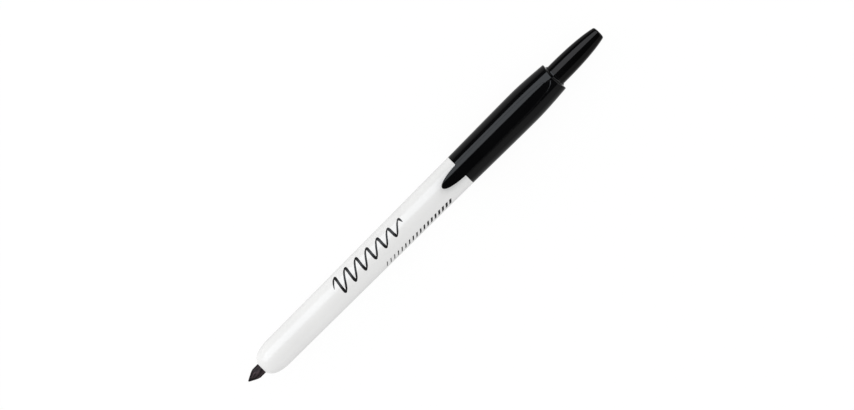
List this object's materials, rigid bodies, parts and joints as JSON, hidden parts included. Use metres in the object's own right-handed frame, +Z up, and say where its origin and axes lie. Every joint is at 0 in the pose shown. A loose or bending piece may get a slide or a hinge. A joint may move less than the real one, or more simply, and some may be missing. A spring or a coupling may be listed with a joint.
{
  "type": "retractable permanent marker",
  "caption": "Slim click-action permanent marker: white ogive-nosed barrel, black rear sleeve with leaf clip, domed push button and fibre nib shown out.",
  "frame": {"origin": "bottom centre of the box round the pen as it lies: half way from nib tip to button end, on the pen's middle plane, at the surface it lies on", "axes": "+X along the pen from nib to push button, +Z up through the pocket clip, +Y across"},
  "size_m": [0.1474, 0.0112, 0.0137],
  "materials": {
    "white_plastic": "smooth moulded gloss",
    "black_plastic": "smooth moulded gloss",
    "natural_plastic": "moulded, satin",
    "grey_plastic": "moulded, satin",
    "soft_rubber": "soft, dull",
    "spring_steel": "drawn wire",
    "inked_felt": "pressed fibre soaked in black ink",
    "inked_fibre": "bonded fibre soaked in black ink"
  },
  "bodies": {
    "housing": {"barrel": "white_plastic", "rear_sleeve": "black_plastic", "cam_guide": "natural_plastic", "seal_chamber": "natural_plastic", "slit_valve": "soft_rubber"},
    "clip": {"pocket_clip": "black_plastic"},
    "button": {"push_button": "black_plastic", "thrust_cam": "natural_plastic"},
    "cartridge": {"cartridge_tube": "natural_plastic", "ink_reservoir": "inked_fibre", "end_plug": "natural_plastic", "nib_holder": "grey_plastic", "holder_ring": "soft_rubber", "return_spring": "spring_steel", "nib": "inked_felt"},
    "rotor": {"cam_rotor": "grey_plastic"}
  },
  "joints": [
    {"name": "button_slide", "type": "slide", "parent": "housing", "child": "button", "axis": [1, 0, 0], "range_m": [-0.0018, 0.0122]},
    {"name": "cartridge_slide", "type": "slide", "parent": "housing", "child": "cartridge", "axis": [1, 0, 0], "range_m": [-0.0018, 0.0122], "deforming": ["return_spring", "slit_valve"]},
    {"name": "rotor_turn", "type": "hinge", "parent": "cartridge", "child": "rotor", "pos_m": [0.02205, 0, 0.00562], "axis": [1, 0, 0], "continuous": true},
    {"name": "clip_flex", "type": "hinge", "parent": "housing", "child": "clip", "pos_m": [0.04825, 0, 0.01091], "axis": [0, 1, 0], "range_deg": [0, 2.1], "stiffness_Nm_per_rad": 5}
  ],
  "couplings": [
    {"joint": "cartridge_slide", "follows": "button_slide", "ratio": 1}
  ]
}
